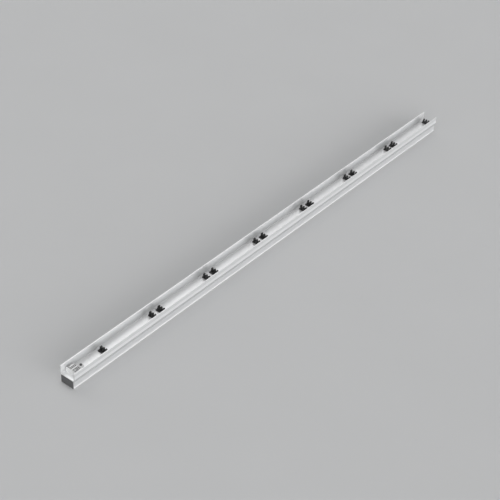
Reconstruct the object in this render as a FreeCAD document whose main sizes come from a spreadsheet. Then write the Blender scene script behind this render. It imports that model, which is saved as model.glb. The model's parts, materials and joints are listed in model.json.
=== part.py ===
"""Rack power rail: an extruded aluminium channel with plug-in points for a row of modules.

Frame: millimetres, +Z up, origin at the middle of the underside. The rail lies along X, with its infeed at
the -X end, and is symmetric about the XZ plane.
"""
import FreeCAD, Part
import os
import Sketcher

doc = FreeCAD.newDocument("rack_power_rail")
V = FreeCAD.Vector

# Driving dimensions, in millimetres, apart from the two counts and finger_draft, which is in degrees.
SIZES = {
    # Layout along the rail
    "slot_count": 7,
    "slot_pitch": 254,
    "infeed_length": 131,
    "end_margin": 2,
    # Section of the rail, from the underside up
    "foot_thickness": 2.5,
    "foot_lip_width": 1.2,
    "foot_lip_height": 3,
    "foot_lip_slope": 2.5,
    "chamber_width": 46,
    "chamber_depth": 23,
    "chamber_wall": 2.4,
    "floor_thickness": 3,
    "undercut_drop": 2.3,
    "channel_width": 51.2,
    "channel_depth": 30.5,
    "channel_wall": 3.5,
    "ridge_rise": 8.6,
    "ridge_width": 1.2,
    "ridge_slope": 9.3,
    "edge_radius": 0.6,
    "floor_corner_radius": 2.5,
    # Connectors
    "connector_inset": 10.2,
    "ledge_length": 14,
    "ledge_width": 32,
    "ledge_height": 3,
    "ledge_corner_radius": 1.2,
    "neck_length": 11,
    "neck_width": 28,
    "neck_clearance": 0.2,
    "terminal_depth": 9,
    "finger_count": 3,
    "finger_pitch": 10,
    "finger_length": 8.2,
    "finger_width": 5.6,
    "finger_height": 14.2,
    "finger_draft": 2,
    "finger_tip_chamfer": 0.6,
    "finger_edge_gap": 0.4,
    "contact_length": 4,
    "contact_width": 1.6,
    "contact_depth": 9,
    # End caps
    "cap_width": 47,
    "cap_thickness": 2,
    "cap_edge_inset": 0.4,
    "cap_top_gap": 2.5,
    "cap_edge_radius": 0.8,
    "plug_clearance": 0.3,
    "plug_depth": 8,
    "plug_wall": 2,
    # Infeed cover and its screw
    "cover_setback": 17.5,
    "cover_length": 28,
    "cover_width": 46,
    "cover_height": 16,
    "cover_wall": 2,
    "cover_edge_radius": 1.2,
    "tab_width": 18,
    "tab_thickness": 2,
    "tab_end_margin": 6,
    "tab_corner_radius": 3,
    "screw_setback": 18,
    "screw_offset": 8.2,
    "screw_diameter": 4,
    "screw_clearance": 0.15,
    "screw_head_diameter": 8,
    "screw_head_height": 2.4,
    "screw_end_length": 2,
    "hex_key_size": 2.5,
    "hex_key_depth": 1.5,
}

sheet = doc.addObject("Spreadsheet::Sheet", "dims")
for row, (name, size) in enumerate(SIZES.items(), start=1):
    sheet.set(f"A{row}", name)
    sheet.set(f"B{row}", str(size))
    sheet.setAlias(f"B{row}", name)
doc.recompute()


def dim(*names):
    """The sum of some sheet cells, as an expression."""
    return "(" + " + ".join(f"dims.{name}" for name in names) + ")"


# Lengths that several pieces share, worked out from the driving dimensions
RAIL_LENGTH = "(dims.infeed_length + dims.slot_count * dims.slot_pitch + dims.end_margin)"
NEAR_END = f"(-{RAIL_LENGTH} / 2)"
FIRST_SLOT = f"({NEAR_END} + dims.infeed_length)"
FLOOR_TOP = dim("foot_thickness", "chamber_depth", "floor_thickness")
RAIL_HEIGHT = dim("foot_thickness", "chamber_depth", "floor_thickness", "channel_depth")
CHAMBER_TOP = dim("foot_thickness", "chamber_depth")
CONNECTOR_CENTRE = "(dims.connector_inset + dims.ledge_length / 2)"
SCREW_HOLE = "(dims.screw_diameter + 2 * dims.screw_clearance)"
SCREW_X = f"({NEAR_END} + dims.cover_setback + dims.cover_length + dims.screw_setback)"


def value(expression):
    return float(sheet.evalExpression(expression))


def origin_plane(body, role):
    return next(plane for plane in body.Origin.OriginFeatures if plane.Role == role)


def new_body(label):
    body = doc.addObject("PartDesign::Body", label)
    body.Label = label
    return body


def new_sketch(body, name, role, lift="0"):
    """A sketch on one of the body's own origin planes, lifted along the plane's normal."""
    sketch = body.newObject("Sketcher::SketchObject", name)
    sketch.AttachmentSupport = (origin_plane(body, role), [""])
    sketch.MapMode = "FlatFace"
    sketch.setExpression("AttachmentOffset.Base.z", lift)
    return sketch


def bind(sketch, constraint, expression):
    """Adds a constraint whose size follows an expression."""
    index = sketch.addConstraint(constraint)
    sketch.setExpression(f"Constraints[{index}]", expression)


def outline(sketch, corners):
    """A closed outline of straight sides. Each corner is a pair of expressions from the sketch's origin."""
    points = [V(value(across), value(up), 0) for across, up in corners]
    sides = list(zip(points, points[1:] + points[:1]))
    lines = [sketch.addGeometry(Part.LineSegment(start, end)) for start, end in sides]
    for line, following in zip(lines, lines[1:] + lines[:1]):
        sketch.addConstraint(Sketcher.Constraint("Coincident", line, 2, following, 1))
    for line, point, (across, up) in zip(lines, points, corners):
        bind(sketch, Sketcher.Constraint("DistanceX", -1, 1, line, 1, point.x), across)
        bind(sketch, Sketcher.Constraint("DistanceY", -1, 1, line, 1, point.y), up)


def rectangle(sketch, left, right, bottom, top):
    outline(sketch, [(left, bottom), (right, bottom), (right, top), (left, top)])


def circle(sketch, across, up, diameter):
    radius = value(diameter) / 2
    centre = V(value(across), value(up), 0)
    ring = sketch.addGeometry(Part.Circle(centre, V(0, 0, 1), radius))
    bind(sketch, Sketcher.Constraint("DistanceX", -1, 1, ring, 3, centre.x), across)
    bind(sketch, Sketcher.Constraint("DistanceY", -1, 1, ring, 3, centre.y), up)
    bind(sketch, Sketcher.Constraint("Diameter", ring, 2 * radius), diameter)


def extrude(body, kind, name, sketch, length, backwards=False):
    """A Pad or Pocket of a sketch. A Pad goes along the sketch's normal and a Pocket against it."""
    feature = body.newObject(f"PartDesign::{kind}", name)
    feature.Profile = sketch
    feature.setExpression("Length", length)
    feature.Reversed = backwards
    sketch.Visibility = False
    doc.recompute()
    return feature


def cut(body, name, sketch, depth, backwards=False):
    before = body.Shape.Volume
    pocket = extrude(body, "Pocket", name, sketch, depth, backwards)
    if body.Shape.Volume >= before:
        raise RuntimeError(f"{body.Label}: {name} removes nothing")
    return pocket


def dress(body, kind, name, size, wanted):
    """A Fillet or Chamfer of the edges of the body's tip that the test picks out."""
    base = body.Tip
    picked = [f"Edge{i}" for i, edge in enumerate(base.Shape.Edges, start=1) if wanted(edge)]
    feature = body.newObject(f"PartDesign::{kind}", name)
    feature.Base = (base, picked)
    feature.setExpression("Radius" if kind == "Fillet" else "Size", size)
    doc.recompute()
    return feature


def runs_along(edge, axis):
    """Whether a straight edge is parallel to an axis, 0 for X, 1 for Y or 2 for Z."""
    if edge.Curve.TypeId != "Part::GeomLine":
        return False
    along = edge.Vertexes[1].Point - edge.Vertexes[0].Point
    return abs(abs(along[axis]) - along.Length) < 1e-6


def at_corner(edge, corners):
    """Whether an edge along X passes one of some (|y|, z) corners of the section."""
    point = edge.Vertexes[0].Point
    return any(abs(abs(point.y) - y) < 1e-4 and abs(point.z - z) < 1e-4 for y, z in corners)


def spans(face, low, high):
    """Whether a face reaches from one height exactly to another."""
    return abs(face.BoundBox.ZMin - low) < 1e-6 and abs(face.BoundBox.ZMax - high) < 1e-6


def round_corners(body, name, radius, section_corners):
    """Fillets the long edges of the rail at some corners of its section, on both sides."""
    corners = [(value(across), value(up)) for across, up in section_corners]
    dress(body, "Fillet", name, radius, lambda edge: runs_along(edge, 0) and at_corner(edge, corners))


def rail_profile():
    """The extrusion: a wire chamber on foot lips, under a channel whose walls overhang it in a ridge."""
    body = new_body("rail_profile")
    section = new_sketch(body, "section", "YZ_Plane", NEAR_END)
    chamber_half = "(dims.chamber_width / 2)"
    box_half = f"({chamber_half} + dims.chamber_wall)"
    foot_half = f"({box_half} + dims.foot_lip_width)"
    channel_half = "(dims.channel_width / 2)"
    wall_half = f"({channel_half} + dims.channel_wall)"
    ridge_half = f"({wall_half} + dims.ridge_width)"
    foot_corner = (foot_half, "0")
    lip_corner = (foot_half, "dims.foot_lip_height")
    ridge_crest = (ridge_half, f"{FLOOR_TOP} + dims.ridge_rise")
    outer_rim = (wall_half, RAIL_HEIGHT)
    inner_rim = (channel_half, RAIL_HEIGHT)
    floor_corner = (channel_half, FLOOR_TOP)
    side = [
        foot_corner,
        lip_corner,
        (box_half, dim("foot_lip_height", "foot_lip_slope")),
        (box_half, f"{CHAMBER_TOP} - dims.undercut_drop"),
        ridge_crest,
        (wall_half, f"{FLOOR_TOP} + dims.ridge_rise + dims.ridge_slope"),
        outer_rim,
        inner_rim,
        floor_corner,
    ]
    other_side = [(f"-{across}", up) for across, up in reversed(side)]
    outline(section, side + other_side)
    rectangle(section, f"-{chamber_half}", chamber_half, "dims.foot_thickness", CHAMBER_TOP)
    extrude(body, "Pad", "extrusion", section, RAIL_LENGTH)

    die_corners = [foot_corner, lip_corner, ridge_crest, outer_rim, inner_rim]
    round_corners(body, "die_radii", "dims.edge_radius", die_corners)
    round_corners(body, "floor_radii", "dims.floor_corner_radius", [floor_corner])

    hole = new_sketch(body, "cover_screw_hole", "XY_Plane", FLOOR_TOP)
    circle(hole, SCREW_X, "dims.screw_offset", SCREW_HOLE)
    cut(body, "screw_hole", hole, dim("floor_thickness"))

    openings = new_sketch(body, "slot_cutouts", "XY_Plane", FLOOR_TOP)
    half_length = "(dims.neck_length / 2 + dims.neck_clearance)"
    half_width = "(dims.neck_width / 2 + dims.neck_clearance)"
    start = f"({FIRST_SLOT} + {CONNECTOR_CENTRE})"
    end = f"({FIRST_SLOT} + dims.slot_pitch - {CONNECTOR_CENTRE})"
    for centre in (start, end):
        rectangle(openings, f"{centre} - {half_length}", f"{centre} + {half_length}",
                  f"-{half_width}", half_width)
    first = cut(body, "connector_cutouts", openings, dim("floor_thickness"))

    row = body.newObject("PartDesign::LinearPattern", "cutouts_along_rail")
    row.Originals = [first]
    row.Direction = (openings, ["H_Axis"])
    row.setExpression("Length", "dims.slot_pitch * (dims.slot_count - 1)")
    row.setExpression("Occurrences", "dims.slot_count")
    body.Tip = row
    doc.recompute()
    return body


def connector(label, centre, turned):
    """A three-finger connector seated in the floor: ledge, neck below it, and fingers at the slot's side."""
    body = new_body(label)
    half_length = "dims.ledge_length / 2"
    half_width = "dims.ledge_width / 2"
    ledge = new_sketch(body, "ledge_outline", "XY_Plane")
    rectangle(ledge, f"-{half_length}", half_length, f"-{half_width}", half_width)
    extrude(body, "Pad", "ledge", ledge, "dims.ledge_height")
    dress(body, "Fillet", "ledge_corners", "dims.ledge_corner_radius", lambda edge: runs_along(edge, 2))

    neck = new_sketch(body, "neck_outline", "XY_Plane")
    rectangle(neck, "-dims.neck_length / 2", "dims.neck_length / 2",
              "-dims.neck_width / 2", "dims.neck_width / 2")
    extrude(body, "Pad", "neck", neck, dim("floor_thickness", "terminal_depth"), backwards=True)

    fingers = new_sketch(body, "finger_outlines", "XY_Plane", "dims.ledge_height")
    front = "(dims.ledge_length / 2 - dims.finger_edge_gap)"
    count = round(value("dims.finger_count"))
    middles = [f"({i} - (dims.finger_count - 1) / 2) * dims.finger_pitch" for i in range(count)]
    for middle in middles:
        rectangle(fingers, f"{front} - dims.finger_length", front,
                  f"{middle} - dims.finger_width / 2", f"{middle} + dims.finger_width / 2")
    straight = extrude(body, "Pad", "fingers", fingers, "dims.finger_height")
    foot = value("dims.ledge_height")
    tip = value(dim("ledge_height", "finger_height"))
    sides = [f"Face{i}" for i, face in enumerate(straight.Shape.Faces, start=1) if spans(face, foot, tip)]
    drafted = body.newObject("PartDesign::Draft", "finger_sides")
    drafted.Base = (straight, sides)
    drafted.NeutralPlane = (origin_plane(body, "XY_Plane"), [""])
    drafted.setExpression("Angle", "dims.finger_draft")
    doc.recompute()
    dress(body, "Chamfer", "finger_tips", "dims.finger_tip_chamfer",
          lambda edge: all(abs(vertex.Point.z - tip) < 1e-6 for vertex in edge.Vertexes))

    contacts = new_sketch(body, "contact_slots", "XY_Plane", dim("ledge_height", "finger_height"))
    mid_finger = f"({front} - dims.finger_length / 2)"
    for middle in middles:
        rectangle(contacts,
                  f"{mid_finger} - dims.contact_length / 2", f"{mid_finger} + dims.contact_length / 2",
                  f"{middle} - dims.contact_width / 2", f"{middle} + dims.contact_width / 2")
    cut(body, "contacts", contacts, "dims.contact_depth")

    body.Placement = FreeCAD.Placement(V(0, 0, 0), FreeCAD.Rotation(V(0, 0, 1), 180 if turned else 0))
    body.setExpression("Placement.Base.x", centre)
    body.setExpression("Placement.Base.z", FLOOR_TOP)
    return body


def end_cap(label, far):
    """A moulded cap: a plate over the wire chamber's end with a hollow plug that goes into it."""
    body = new_body(label)
    half_width = "(dims.cap_width / 2)"
    plate = new_sketch(body, "plate_outline", "YZ_Plane")
    rectangle(plate, f"-{half_width}", half_width, "dims.cap_edge_inset", f"{FLOOR_TOP} - dims.cap_top_gap")
    extrude(body, "Pad", "plate", plate, "dims.cap_thickness", backwards=True)
    outer_face = -value("dims.cap_thickness")
    dress(body, "Fillet", "plate_edges", "dims.cap_edge_radius",
          lambda edge: all(abs(vertex.Point.x - outer_face) < 1e-6 for vertex in edge.Vertexes))

    plug_half = "(dims.chamber_width / 2 - dims.plug_clearance)"
    plug_bottom = "(dims.foot_thickness + dims.plug_clearance)"
    plug_top = "(dims.foot_thickness + dims.chamber_depth - dims.plug_clearance)"
    plug = new_sketch(body, "plug_outline", "YZ_Plane")
    rectangle(plug, f"-{plug_half}", plug_half, plug_bottom, plug_top)
    extrude(body, "Pad", "plug", plug, "dims.plug_depth")
    hollow = new_sketch(body, "plug_hollow", "YZ_Plane", "dims.plug_depth")
    rectangle(hollow, f"-{plug_half} + dims.plug_wall", f"{plug_half} - dims.plug_wall",
              f"{plug_bottom} + dims.plug_wall", f"{plug_top} - dims.plug_wall")
    cut(body, "hollow", hollow, "dims.plug_depth")

    body.Placement = FreeCAD.Placement(V(0, 0, 0), FreeCAD.Rotation(V(0, 0, 1), 180 if far else 0))
    body.setExpression("Placement.Base.x", f"{RAIL_LENGTH} / 2" if far else NEAR_END)
    return body


def infeed_cover():
    """The hollow block over the infeed, with a low tab that its screw holds to the floor."""
    body = new_body("infeed_cover")
    half_width = "(dims.cover_width / 2)"
    block = new_sketch(body, "block_outline", "XY_Plane")
    rectangle(block, "0", "dims.cover_length", f"-{half_width}", half_width)
    extrude(body, "Pad", "block", block, "dims.cover_height")
    top = value("dims.cover_height")
    dress(body, "Fillet", "block_edges", "dims.cover_edge_radius",
          lambda edge: runs_along(edge, 2)
          or all(abs(vertex.Point.z - top) < 1e-6 for vertex in edge.Vertexes))

    hollow = new_sketch(body, "hollow_outline", "XY_Plane")
    rectangle(hollow, "dims.cover_wall", "dims.cover_length - dims.cover_wall",
              f"-{half_width} + dims.cover_wall", f"{half_width} - dims.cover_wall")
    cut(body, "hollow", hollow, "dims.cover_height - dims.cover_wall", backwards=True)

    tab = new_sketch(body, "tab_outline", "XY_Plane")
    tab_end = dim("cover_length", "screw_setback", "tab_end_margin")
    rectangle(tab, "dims.cover_length - dims.cover_wall / 2", tab_end,
              "dims.screw_offset - dims.tab_width / 2", "dims.screw_offset + dims.tab_width / 2")
    extrude(body, "Pad", "tab", tab, "dims.tab_thickness")
    tip = value(tab_end)
    dress(body, "Fillet", "tab_corners", "dims.tab_corner_radius",
          lambda edge: abs(edge.Vertexes[0].Point.x - tip) < 1e-6 and runs_along(edge, 2))
    hole = new_sketch(body, "tab_hole", "XY_Plane", "dims.tab_thickness")
    circle(hole, dim("cover_length", "screw_setback"), "dims.screw_offset", SCREW_HOLE)
    cut(body, "screw_hole", hole, "dims.tab_thickness")

    body.setExpression("Placement.Base.x", f"{NEAR_END} + dims.cover_setback")
    body.setExpression("Placement.Base.z", FLOOR_TOP)
    return body


def infeed_cover_screw():
    """The cover's socket screw, its head seated on the tab and its end through the floor."""
    body = new_body("infeed_cover_screw")
    head = new_sketch(body, "head_outline", "XY_Plane")
    circle(head, "0", "0", "dims.screw_head_diameter")
    extrude(body, "Pad", "head", head, "dims.screw_head_height")
    top = value("dims.screw_head_height")
    dress(body, "Fillet", "head_edge", "dims.screw_head_height / 4",
          lambda edge: all(abs(vertex.Point.z - top) < 1e-6 for vertex in edge.Vertexes))
    shank = new_sketch(body, "shank_outline", "XY_Plane")
    circle(shank, "0", "0", "dims.screw_diameter")
    length = dim("tab_thickness", "floor_thickness", "screw_end_length")
    extrude(body, "Pad", "shank", shank, length, backwards=True)

    key = new_sketch(body, "key_socket", "XY_Plane", "dims.screw_head_height")
    across_corners = "dims.hex_key_size / cos(30)"
    outline(key, [(f"{across_corners} / 2 * cos({60 * i})", f"{across_corners} / 2 * sin({60 * i})")
                  for i in range(6)])
    cut(body, "key_recess", key, "dims.hex_key_depth")

    body.setExpression("Placement.Base.x", SCREW_X)
    body.setExpression("Placement.Base.y", "dims.screw_offset")
    body.setExpression("Placement.Base.z", f"{FLOOR_TOP} + dims.tab_thickness")
    return body


pieces = [rail_profile(), end_cap("near_end_cap", far=False), end_cap("far_end_cap", far=True)]
pieces += [infeed_cover(), infeed_cover_screw()]
for slot in range(1, round(value("dims.slot_count")) + 1):
    slot_start = f"({FIRST_SLOT} + {slot - 1} * dims.slot_pitch)"
    start_centre = f"{slot_start} + {CONNECTOR_CENTRE}"
    end_centre = f"{slot_start} + dims.slot_pitch - {CONNECTOR_CENTRE}"
    pieces.append(connector(f"slot{slot}_connector_a", start_centre, turned=False))
    pieces.append(connector(f"slot{slot}_connector_b", end_centre, turned=True))
doc.recompute()

for item in doc.Objects:
    if "Invalid" in item.State or "Error" in item.State:
        raise RuntimeError(f"{item.Label} failed: {item.State}")
for piece in pieces:
    if piece.Shape.isNull() or not piece.Shape.isValid() or len(piece.Shape.Solids) != 1:
        raise RuntimeError(f"{piece.Label} is not one valid solid")

os.makedirs("parts", exist_ok=True)
for piece in pieces:
    piece.Shape.exportStep(f"parts/{piece.Label}.step")
    box = piece.Shape.BoundBox
    print(f"{piece.Label}: {box.XLength:.2f} x {box.YLength:.2f} x {box.ZLength:.2f} mm, "
          f"x {box.XMin:.2f}, z {box.ZMin:.2f}, volume {piece.Shape.Volume:.1f}")
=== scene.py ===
"""Looks of a rack power rail: satin extrusion, black connectors, dark end caps and a light infeed cover."""
import json
import math

import bpy
from mathutils import Matrix, Vector


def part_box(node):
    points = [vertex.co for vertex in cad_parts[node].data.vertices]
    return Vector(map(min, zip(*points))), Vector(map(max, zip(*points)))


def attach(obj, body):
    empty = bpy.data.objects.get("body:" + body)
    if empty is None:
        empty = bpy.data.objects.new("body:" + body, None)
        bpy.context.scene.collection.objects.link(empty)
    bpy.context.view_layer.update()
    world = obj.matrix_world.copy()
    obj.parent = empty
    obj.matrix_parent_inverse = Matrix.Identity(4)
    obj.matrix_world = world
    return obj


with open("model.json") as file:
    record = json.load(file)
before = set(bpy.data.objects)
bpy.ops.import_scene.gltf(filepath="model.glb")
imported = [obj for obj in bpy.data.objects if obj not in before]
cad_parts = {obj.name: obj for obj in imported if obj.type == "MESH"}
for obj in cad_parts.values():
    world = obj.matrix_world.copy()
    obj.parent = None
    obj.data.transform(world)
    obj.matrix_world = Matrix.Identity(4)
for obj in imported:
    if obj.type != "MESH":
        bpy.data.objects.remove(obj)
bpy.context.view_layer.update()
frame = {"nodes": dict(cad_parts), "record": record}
nodes = frame["nodes"]
record = frame["record"]

# Sockets of a Mix node for colours: its factor, its two colours and its result
MIX_FACTOR = 0
MIX_FIRST = 6
MIX_SECOND = 7
MIX_RESULT = 2


class Tone:
    """A shader value that takes part in sums, products and comparisons."""

    def __init__(self, shading, socket):
        self.shading = shading
        self.socket = socket

    def combine(self, operation, *values):
        """A Math node on one or two values."""
        sockets = dict(enumerate(values))
        return self.shading.node("ShaderNodeMath", "Value", {"operation": operation}, sockets)

    def __add__(self, other):
        return self.combine("ADD", self, other)

    def __radd__(self, other):
        return self.combine("ADD", other, self)

    def __sub__(self, other):
        return self.combine("SUBTRACT", self, other)

    def __rsub__(self, other):
        return self.combine("SUBTRACT", other, self)

    def __mul__(self, other):
        return self.combine("MULTIPLY", self, other)

    def __rmul__(self, other):
        return self.combine("MULTIPLY", other, self)

    def __gt__(self, other):
        return self.combine("GREATER_THAN", self, other)

    def __lt__(self, other):
        return self.combine("LESS_THAN", self, other)

    def __abs__(self):
        return self.combine("ABSOLUTE", self)

    def __floor__(self):
        return self.combine("FLOOR", self)

    def larger(self, other):
        """The larger of two values."""
        return self.combine("MAXIMUM", self, other)

    def within(self, low, high):
        """One between two limits and zero outside them."""
        return (self > low) * (self < high)


class Shading:
    """The nodes of a finish or of the surround."""

    def __init__(self, tree):
        self.tree = tree

    def fill(self, socket, value):
        """Links a tone to a socket, or sets the socket to a plain value."""
        if isinstance(value, Tone):
            self.tree.links.new(value.socket, socket)
        else:
            socket.default_value = value

    def node(self, kind, output, settings=None, sockets=None):
        """Adds a node, sets it up, fills or links its sockets, and gives one of its outputs."""
        made = self.tree.nodes.new(kind)
        for name, value in (settings or {}).items():
            if name == "stops":
                for element, (place, colour) in zip(made.color_ramp.elements, value):
                    element.position = place
                    element.color = colour
            else:
                setattr(made, name, value)
        for name, value in (sockets or {}).items():
            self.fill(made.inputs[name], value)
        return Tone(self, made.outputs[output])


class Finish(Shading):
    """A material made of one Principled shader and the nodes that feed it."""

    def __init__(self, name, constants=None):
        self.material = bpy.data.materials.new(name)
        self.material.use_nodes = True
        super().__init__(self.material.node_tree)
        self.shader = self.tree.nodes["Principled BSDF"]
        for socket, value in (constants or {}).items():
            self.feed(socket, value)

    def feed(self, socket, value):
        """Fills one of the shader's own sockets."""
        self.fill(self.shader.inputs[socket], value)

    def place(self):
        """The surface's place on the part, in metres."""
        return self.node("ShaderNodeTexCoord", "Object")

    def axes(self):
        """The place along the rail, across it and above its underside."""
        place = self.place()
        return [self.node("ShaderNodeSeparateXYZ", axis, None, {"Vector": place}) for axis in "XYZ"]

    def noise(self, place, detail, roughness=0.5):
        """Noise over a place that is already stretched to scale."""
        sockets = {"Vector": place, "Scale": 1.0, "Detail": detail, "Roughness": roughness}
        return self.node("ShaderNodeTexNoise", "Fac", None, sockets)

    def grain(self, scale, detail, roughness=0.5):
        """Noise over the part, with its own scale along each axis."""
        stretched = self.node("ShaderNodeMapping", "Vector", None, {"Vector": self.place(), "Scale": scale})
        return self.noise(stretched, detail, roughness)

    def ramp(self, factor, low, high, most=1.0):
        """A value that climbs from zero to its most between two levels of another."""
        stops = ((low, (0.0, 0.0, 0.0, 1.0)), (high, (most, most, most, 1.0)))
        return self.node("ShaderNodeValToRGB", "Color", {"stops": stops}, {"Fac": factor})

    def blend(self, factor, first, second):
        """One colour over another by a mask."""
        sockets = {MIX_FACTOR: factor}
        for socket, colour in ((MIX_FIRST, first), (MIX_SECOND, second)):
            sockets[socket] = colour if isinstance(colour, Tone) else (*colour, 1.0)
        return self.node("ShaderNodeMix", MIX_RESULT, {"data_type": "RGBA"}, sockets)

    def relief(self, height, depth, strength):
        """Fine relief of the surface, its depth in metres."""
        sockets = {"Height": height, "Distance": depth, "Strength": strength}
        self.feed("Normal", self.node("ShaderNodeBump", "Normal", None, sockets))


# Where the rail's finish changes, in metres: heights above the underside, sides from the middle of the width
RAIL_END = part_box("rail_profile")[1].x
RIM_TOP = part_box("rail_profile")[1].z
CUT_FACE = 0.00004
LIP_TOP = 0.0056
GROOVE_FOOT = 0.0226
CHANNEL_FLOOR = 0.0280
RIDGE_FOOT = 0.0368
RUB_FOOT = 0.040
RIDGE_TOP = 0.0462
BOX_SIDE = 0.0252
WALL_INSIDE = 0.0262
RIDGE_SIDE = 0.0288

# Colours of the rail
ANODISED_DEEP = (0.77, 0.775, 0.78)
ANODISED_PALE = (0.84, 0.845, 0.85)
AGED = (0.73, 0.735, 0.74)
# Painted shade: a grey that darkens the groove under the ridge
GROOVE_PAINTED_SHADE = (0.52, 0.525, 0.53)
# Painted highlight on the ridge and foot lip, and the lighter tone inside the channel
HIGHLIGHT_AND_CHANNEL_PALE = (0.92, 0.925, 0.93)
SAWN_DEEP = (0.74, 0.745, 0.75)
SAWN_PALE = (0.86, 0.865, 0.87)

# How much painted shade the groove takes, how much painted highlight the ridge and foot lip take, and how
# much lighter the channel is made
GROOVE_SHADE_SHARE = 0.7
RIDGE_PAINTED_HIGHLIGHT = 0.9
LIP_PAINTED_HIGHLIGHT = 0.1
CHANNEL_LIGHTENING = 0.8

# Marks on the rail, in grains to the metre along, across and above
DIE_LINES = (1.2, 900.0, 900.0)
CLOUDS = (9.0, 28.0, 28.0)
FROST = (1500.0, 1500.0, 1500.0)
SAW_MARKS = (10.0, 60.0, 1800.0)

# The rail's roughness, and how much each mark or band changes it
SATIN = 0.27
LINES_ROUGHEN = 0.10
CLOUDS_ROUGHEN = 0.06
SAW_SMOOTHS = 0.06
SCUFFS_ROUGHEN = 0.20
LIP_ROUGHENS = 0.40

# Shares of the die lines and the frost in the rail's relief
LINES_RELIEF = 0.8
FROST_RELIEF = 0.2


def satin_aluminium():
    """Anodised extrusion: die lines, painted highlight on the ridges and foot lips, a lighter channel,
    painted shade in the groove, matt foot lips, sawn ends.
    """
    finish = Finish("satin_aluminium", {"Metallic": 0.6})
    along, across, above = finish.axes()
    out = abs(across)
    ridge = above.within(RIDGE_FOOT, RIDGE_TOP) * (out > RIDGE_SIDE)
    lip = (above < LIP_TOP) * (out > BOX_SIDE)
    groove = above.within(GROOVE_FOOT, RIDGE_FOOT) * (out > BOX_SIDE)
    channel = (out < WALL_INSIDE) * (above > CHANNEL_FLOOR)
    rise = (above - RUB_FOOT) * (1.0 / (RIM_TOP - RUB_FOOT))
    scuffs = finish.ramp(rise, low=0.0, high=1.0) * channel
    end = abs(along) > RAIL_END - CUT_FACE

    lines = finish.grain(DIE_LINES, detail=3.0, roughness=0.6)
    clouds = finish.grain(CLOUDS, detail=4.0)
    frost = finish.grain(FROST, detail=1.0)
    saw_marks = finish.grain(SAW_MARKS, detail=2.0)

    anodised = finish.blend(finish.ramp(lines, low=0.3, high=0.7), ANODISED_DEEP, ANODISED_PALE)
    aged = finish.blend(finish.ramp(clouds, low=0.35, high=0.75, most=0.45), anodised, AGED)
    # Painted shade: the groove under the ridge is darkened in colour
    groove_shaded = finish.blend(groove * GROOVE_SHADE_SHARE, aged, GROOVE_PAINTED_SHADE)
    # Painted highlight: the ridge and foot lip are lightened in colour, and the channel is made lighter
    highlight_and_channel = ridge * RIDGE_PAINTED_HIGHLIGHT + lip * LIP_PAINTED_HIGHLIGHT + channel * CHANNEL_LIGHTENING
    highlighted = finish.blend(highlight_and_channel, groove_shaded, HIGHLIGHT_AND_CHANNEL_PALE)
    sawn = finish.blend(finish.ramp(saw_marks, low=0.35, high=0.65), SAWN_DEEP, SAWN_PALE)
    finish.feed("Base Color", finish.blend(end, highlighted, sawn))

    marked = SATIN + lines * LINES_ROUGHEN + clouds * CLOUDS_ROUGHEN
    finish.feed("Roughness", marked - end * SAW_SMOOTHS + scuffs * SCUFFS_ROUGHEN + lip * LIP_ROUGHENS)
    height = lines * LINES_RELIEF + frost * FROST_RELIEF + end * saw_marks
    finish.relief(height, depth=0.00003, strength=0.35)
    return finish.material


# Marks on moulded plastic, in grains to the metre, and what they add to its roughness at most and on average
SPARK_TEXTURE = (1100.0, 1100.0, 1100.0)
MOTTLE = (140.0, 140.0, 140.0)
MOTTLE_ROUGHENS = 0.08
SPARKS_ROUGHEN = 0.06
MARKS_AVERAGE = 0.06


def moulded_plastic(name, dark, light, roughness, depth):
    """Spark-eroded moulded plastic, a little mottled."""
    finish = Finish(name)
    texture = finish.grain(SPARK_TEXTURE, detail=2.0)
    mottle = finish.grain(MOTTLE, detail=3.0)
    finish.feed("Base Color", finish.blend(finish.ramp(mottle, low=0.3, high=0.75), dark, light))
    finish.feed("Roughness", roughness - MARKS_AVERAGE + mottle * MOTTLE_ROUGHENS + texture * SPARKS_ROUGHEN)
    finish.relief(texture, depth, strength=0.5)
    return finish.material


# The screw's colours, its wear in grains to the metre, and its roughness
OXIDE_BLACK = (0.125, 0.125, 0.13)
BARE_STEEL = (0.28, 0.28, 0.285)
SCREW_WEAR = (700.0, 700.0, 700.0)
OXIDE_ROUGHNESS = 0.38
WEAR_ROUGHENS = 0.14


def black_screw():
    """Black oxide steel, worn towards bare metal in small patches."""
    finish = Finish("black_screw", {"Metallic": 0.7})
    wear = finish.grain(SCREW_WEAR, detail=4.0)
    bare = finish.ramp(wear, low=0.58, high=0.72, most=0.5)
    finish.feed("Base Color", finish.blend(bare, OXIDE_BLACK, BARE_STEEL))
    finish.feed("Roughness", OXIDE_ROUGHNESS + wear * WEAR_ROUGHENS)
    finish.relief(wear, depth=0.00002, strength=0.3)
    return finish.material


FINISHES = {
    "satin_aluminium": satin_aluminium(),
    "dark_grey_plastic": moulded_plastic(
        "dark_grey_plastic",
        dark=(0.088, 0.089, 0.092),
        light=(0.116, 0.117, 0.120),
        roughness=0.55,
        depth=0.00005,
    ),
    "light_grey_plastic": moulded_plastic(
        "light_grey_plastic",
        dark=(0.78, 0.785, 0.785),
        light=(0.84, 0.845, 0.845),
        roughness=0.50,
        depth=0.00004,
    ),
    "black_screw": black_screw(),
    "black_plastic": moulded_plastic(
        "black_plastic",
        dark=(0.016, 0.016, 0.017),
        light=(0.030, 0.030, 0.031),
        roughness=0.42,
        depth=0.00005,
    ),
}
for part in record["subparts"]:
    piece = nodes[part["node"]]
    piece.data.materials.clear()
    piece.data.materials.append(FINISHES[part["material_slot"]])

# The label plate on the infeed cover, in metres
PLATE_LENGTH = 0.0252
PLATE_WIDTH = 0.0428
PLATE_THICKNESS = 0.0003
PLATE_MARGIN = 0.0014
PLATE_CORNER = 0.0012
PLATE_EDGE = PLATE_THICKNESS / 4

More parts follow.
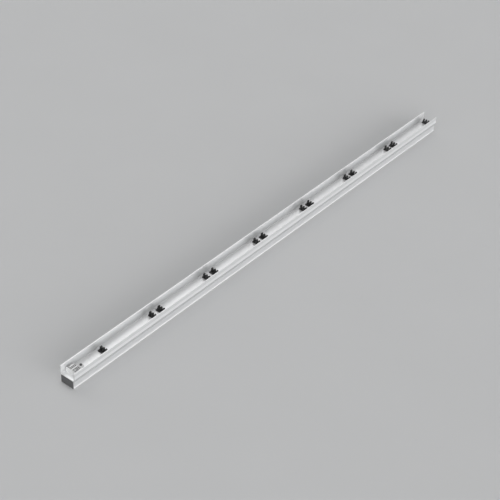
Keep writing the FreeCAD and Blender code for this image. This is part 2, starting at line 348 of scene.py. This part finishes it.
# Steps of the rounded corners and edges of the plate, and the angle in radians that still looks smooth
CORNER_STEPS = 6
EDGE_STEPS = 2
SMOOTH_ANGLE = 0.6

# Rows on the plate: pitch and end margin in metres, rows in the front block, and where the back block starts
ROW_PITCH = 0.0043
ROW_END = 0.0006
FRONT_ROWS = 5
BACK_ROWS_FROM = 6

# A bar's foot and top within its row, and the scale, step by row and least level of the noise that breaks it
BAR_FOOT = 0.20
BAR_TOP = 0.80
DASHES_PER_METRE = 150.0
DASH_STEP = 3.7
DASH_LEVEL = 0.34

# Colours of the plate's film and bars, the film's fibres in grains to the metre, and its roughness
FILM_DEEP = (0.74, 0.745, 0.75)
FILM_PALE = (0.79, 0.795, 0.80)
BAR_BLACK = (0.05, 0.05, 0.053)
FIBRES = (600.0, 600.0, 600.0)
FILM_ROUGHNESS = 0.42
FIBRES_ROUGHEN = 0.12


def ruled_plate(low, high):
    """Printed film with two blocks of plain broken rows."""
    finish = Finish("ruled_plate")
    along, across = finish.axes()[:2]
    turn = (across - low.y) * (1.0 / ROW_PITCH)
    number = math.floor(turn)
    bar = (turn - number).within(BAR_FOOT, BAR_TOP)
    in_rows = along.within(low.x + ROW_END, high.x - ROW_END)
    front_block = across.within(low.y, low.y + FRONT_ROWS * ROW_PITCH)
    back_block = across.within(low.y + BACK_ROWS_FROM * ROW_PITCH, high.y)
    stretch = {"X": along * DASHES_PER_METRE, "Y": number * DASH_STEP}
    dashes = finish.noise(finish.node("ShaderNodeCombineXYZ", "Vector", None, stretch), detail=0.0)
    bars = bar * in_rows * (front_block + back_block) * (dashes > DASH_LEVEL)
    fibres = finish.grain(FIBRES, detail=3.0)
    film = finish.blend(finish.ramp(fibres, low=0.3, high=0.7), FILM_DEEP, FILM_PALE)
    finish.feed("Base Color", finish.blend(bars, film, BAR_BLACK))
    finish.feed("Roughness", FILM_ROUGHNESS + fibres * FIBRES_ROUGHEN)
    finish.relief(fibres, depth=0.00002, strength=0.25)
    return finish.material


def label_plate():
    """A thin plate with rounded corners, lying on the cover's top."""
    cover_low, cover_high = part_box("infeed_cover")
    middle = cover_low.x + PLATE_MARGIN + PLATE_LENGTH / 2
    centre = Vector((middle, 0.0, cover_high.z + PLATE_THICKNESS / 2))
    bpy.ops.object.select_all(action="DESELECT")
    bpy.ops.mesh.primitive_cube_add(size=1.0, location=centre)
    plate = bpy.context.object
    plate.name = "label_plate"
    plate.scale = (PLATE_LENGTH, PLATE_WIDTH, PLATE_THICKNESS)
    bpy.ops.object.transform_apply(location=True, rotation=True, scale=True)
    # Only the four upright edges are selected, for the rounded corners
    for edge in plate.data.edges:
        ends = [plate.data.vertices[i].co for i in edge.vertices]
        edge.select = abs(ends[0].z - ends[1].z) > PLATE_THICKNESS / 2
    for polygon in plate.data.polygons:
        polygon.select = False
    for vertex in plate.data.vertices:
        vertex.select = False
    bpy.ops.object.mode_set(mode="EDIT")
    bpy.context.tool_settings.mesh_select_mode = (False, True, False)
    bpy.ops.mesh.bevel(offset=PLATE_CORNER, segments=CORNER_STEPS, affect="EDGES")
    bpy.ops.object.mode_set(mode="OBJECT")
    edges = plate.modifiers.new("pressed_edge", "BEVEL")
    edges.width = PLATE_EDGE
    edges.segments = EDGE_STEPS
    edges.limit_method = "ANGLE"
    bpy.ops.object.modifier_apply(modifier=edges.name)
    bpy.ops.object.shade_smooth_by_angle(angle=SMOOTH_ANGLE)
    low = Vector([min(v.co[i] for v in plate.data.vertices) for i in range(3)])
    high = Vector([max(v.co[i] for v in plate.data.vertices) for i in range(3)])
    plate.data.materials.append(ruled_plate(low, high))
    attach(plate, "root")


# The floor's side in metres, its two tones, and its cloudiness in grains to the metre
FLOOR_SIDE = 40.0
FLOOR_DEEP = (0.55, 0.555, 0.56)
FLOOR_PALE = (0.57, 0.575, 0.58)
FLOOR_CLOUDS = (3.0, 3.0, 3.0)


def pale_floor():
    """A plain pale floor under the rail."""
    bpy.ops.object.select_all(action="DESELECT")
    bpy.ops.mesh.primitive_plane_add(size=FLOOR_SIDE, location=(0.0, 0.0, 0.0))
    floor = bpy.context.object
    floor.name = "pale_floor"
    finish = Finish("pale_floor", {"Roughness": 0.9, "Specular IOR Level": 0.1})
    tone = finish.grain(FLOOR_CLOUDS, detail=2.0)
    finish.feed("Base Color", finish.blend(tone, FLOOR_DEEP, FLOOR_PALE))
    floor.data.materials.append(finish.material)


# The lamps: the way that each shines from, its spread in degrees and its strength
LAMPS = {
    "top_lamp": ((0.4, 0.6, 2.8), 70.0, 0.85),
    "back_lamp": ((1.5, 1.9, 2.3), 54.0, 0.43),
    "infeed_lamp": ((-3.0, -0.4, 1.2), 76.0, 0.87),
    "front_lamp": ((-0.3, -4.2, 1.2), 70.0, 0.93),
    "low_left_lamp": ((-2.7, -3.2, 0.75), 36.0, 0.91),
    "low_front_lamp": ((0.0, -4.2, 0.75), 36.0, 0.95),
    "low_right_lamp": ((2.7, -3.2, 0.75), 36.0, 0.31),
    "rear_lamp": ((0.4, 4.2, 1.2), 50.0, 0.58),
}

# The surround's strength as light, and as seen by the camera and in reflections
SURROUND_LIGHT = 0.12
SURROUND_SEEN = 0.15


def soft_lamp(name, way, spread, strength):
    """A wide even lamp far off, in the way that it shines from."""
    bpy.ops.object.select_all(action="DESELECT")
    bpy.ops.object.light_add(type="SUN", location=way)
    lamp = bpy.context.object
    lamp.name = name
    lamp.data.angle = math.radians(spread)
    lamp.data.energy = strength
    lamp.rotation_euler = Vector(way).to_track_quat("Z", "Y").to_euler()


def pale_surround():
    """A surround that lights the rail weakly, and looks a little paler to the camera and in reflections."""
    world = bpy.data.worlds.new("surround")
    world.use_nodes = True
    shading = Shading(world.node_tree)
    camera_rays = shading.node("ShaderNodeLightPath", "Is Camera Ray")
    glossy_rays = shading.node("ShaderNodeLightPath", "Is Glossy Ray")
    passing_rays = shading.node("ShaderNodeLightPath", "Is Transmission Ray")
    sight = camera_rays.larger(glossy_rays).larger(passing_rays)
    background = world.node_tree.nodes["Background"]
    shading.fill(background.inputs["Color"], (1.0, 1.0, 1.0, 1.0))
    shading.fill(background.inputs["Strength"], SURROUND_LIGHT + sight * (SURROUND_SEEN - SURROUND_LIGHT))
    bpy.context.scene.world = world


def studio():
    """Wide lamps above the rail, low ones along its front, one behind it, and a pale surround."""
    for name, (way, spread, strength) in LAMPS.items():
        soft_lamp(name, way, spread, strength)
    pale_surround()


# The camera: its lens in millimetres, its place in metres, and its right, up and back directions
SENSOR_WIDTH = 36.0
LENS = 99.13
CAMERA_PLACE = (-2.9905, -2.1411, 2.7609)
CAMERA_RIGHT = Vector((0.62855, -0.77596, 0.05297))
CAMERA_UP = Vector((0.44615, 0.4155, 0.79266))
CAMERA_BACK = Vector((-0.63708, -0.4746, 0.60735))
FARTHEST_SEEN = 100.0


def photo_camera():
    """The camera at the photograph's angle and distance."""
    camera = bpy.data.objects.new("photo_camera", bpy.data.cameras.new("photo_camera"))
    bpy.context.scene.collection.objects.link(camera)
    camera.data.sensor_fit = "HORIZONTAL"
    camera.data.sensor_width = SENSOR_WIDTH
    camera.data.lens = LENS
    camera.data.clip_end = FARTHEST_SEEN
    turn = Matrix((CAMERA_RIGHT, CAMERA_UP, CAMERA_BACK)).transposed().to_4x4()
    camera.matrix_world = Matrix.Translation(CAMERA_PLACE) @ turn
    bpy.context.scene.camera = camera


label_plate()
pale_floor()
studio()
photo_camera()
bpy.context.scene.view_settings.view_transform = "Standard"
